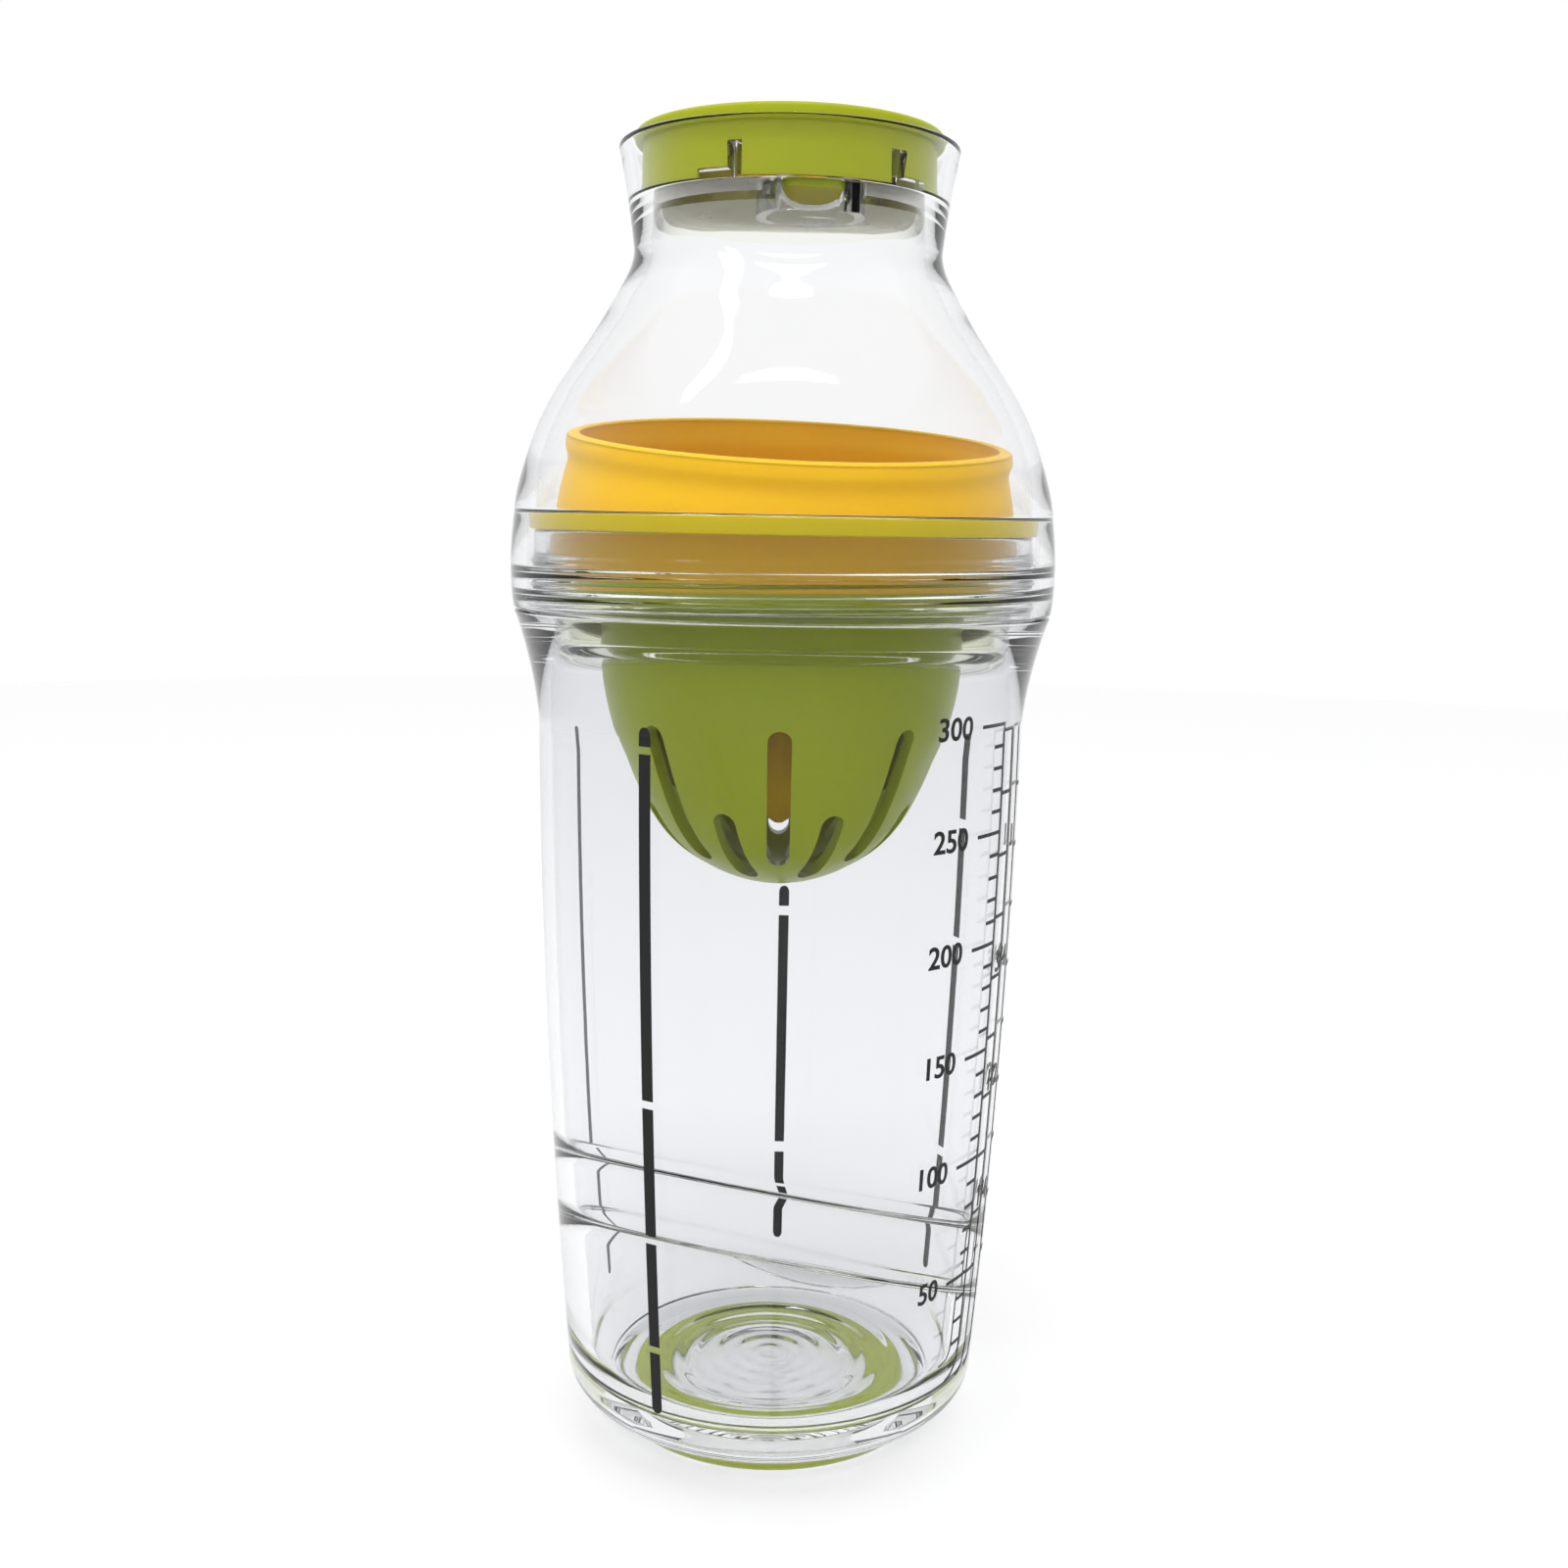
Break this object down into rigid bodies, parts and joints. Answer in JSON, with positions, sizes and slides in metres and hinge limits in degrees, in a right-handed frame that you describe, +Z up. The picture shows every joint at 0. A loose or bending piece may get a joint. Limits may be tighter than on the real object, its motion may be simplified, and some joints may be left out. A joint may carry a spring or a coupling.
{
  "type": "salad dressing shaker bottle",
  "caption": "Clear shaker bottle with a threaded dome lid, keyed pour stopper, slotted strainer basket and a soft fluted reamer cup stored in its mouth.",
  "frame": {"origin": "centre of the surface that the grip ring stands on", "axes": "+Z up along the bottle's axis, -Y towards the front, +X to the right seen from the front"},
  "size_m": [0.0766, 0.0766, 0.184],
  "materials": {
    "clear_bottle": "glossy clear plastic",
    "clear_lid": "glossy clear plastic",
    "lime_rubber": "soft satin rubber",
    "lime_plastic": "slightly translucent satin plastic",
    "yellow_silicone": "satin silicone",
    "lime_cap": "glossy moulded plastic",
    "plug_silicone": "satin silicone",
    "print_black": "screen print"
  },
  "bodies": {
    "bottle": {"bottle_body": "clear_bottle", "base_grip_ring": "lime_rubber"},
    "seal": {"joint_seal": "lime_rubber"},
    "lid": {"dome_lid": "clear_lid"},
    "stopper": {"stopper_cap": "lime_cap", "stopper_plug": "plug_silicone"},
    "strainer": {"strainer_basket": "lime_plastic"},
    "reamer": {"reamer_cup": "yellow_silicone"}
  },
  "joints": [
    {"name": "lid_lift", "type": "slide", "parent": "bottle", "child": "seal", "axis": [0, 0, 1], "range_m": [0, 0.165]},
    {"name": "lid_turn", "type": "hinge", "parent": "seal", "child": "lid", "pos_m": [0, 0, 0.1195], "axis": [0, 0, 1], "range_deg": [0, 120]},
    {"name": "stopper_lift", "type": "slide", "parent": "lid", "child": "stopper", "axis": [0, 0, 1], "range_m": [0, 0.02]},
    {"name": "strainer_lift", "type": "slide", "parent": "bottle", "child": "strainer", "axis": [0, 0, 1], "range_m": [0, 0.0578]},
    {"name": "reamer_lift", "type": "slide", "parent": "strainer", "child": "reamer", "axis": [0, 0, 1], "range_m": [0, 0.0496]}
  ],
  "couplings": [
    {"joint": "strainer_lift", "follows": "lid_lift", "ratio": 0.35},
    {"joint": "reamer_lift", "follows": "lid_lift", "ratio": 0.3}
  ]
}
